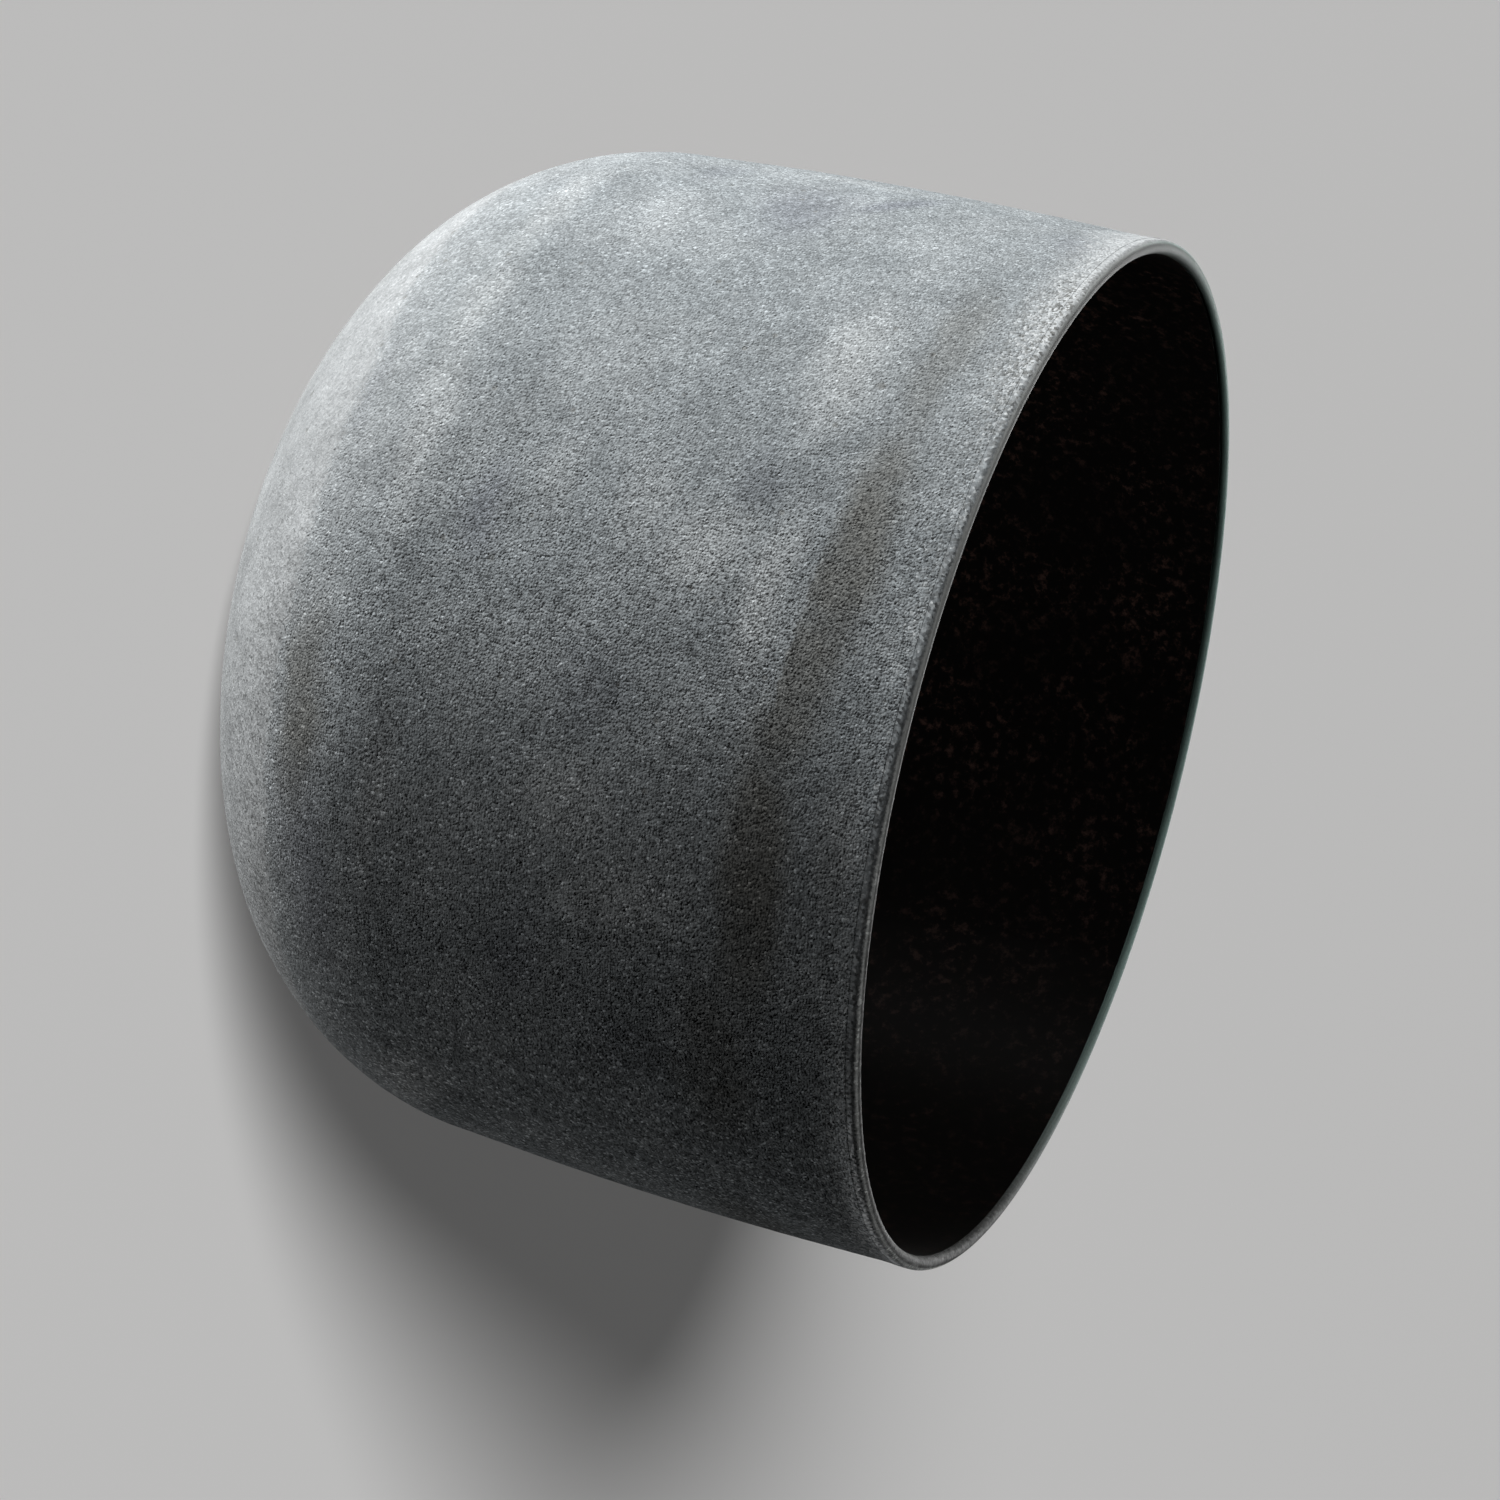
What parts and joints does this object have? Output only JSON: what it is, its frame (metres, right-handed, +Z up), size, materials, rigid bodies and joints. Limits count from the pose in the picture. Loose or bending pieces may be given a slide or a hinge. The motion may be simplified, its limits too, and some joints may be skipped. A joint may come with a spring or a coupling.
{
  "type": "crystal singing bowl",
  "caption": "Deep round singing bowl of fused quartz: sand-frosted grey outside, smooth rounded lip, glossy black inside, flat ground foot.",
  "frame": {"origin": "centre of the flat ground face under the base, on the surface that the bowl stands on", "axes": "+Z up along the bowl's axis of revolution, from the base to the open mouth"},
  "size_m": [0.2048, 0.2048, 0.1546],
  "materials": {
    "frosted_quartz": "matt, sand-frosted, coarse grain",
    "smooth_quartz": "satin, smooth",
    "black_gloss": "glossy black"
  },
  "bodies": {
    "root": {"sand_skin": "frosted_quartz", "quartz_wall": "smooth_quartz", "black_lining": "black_gloss"}
  },
  "joints": []
}
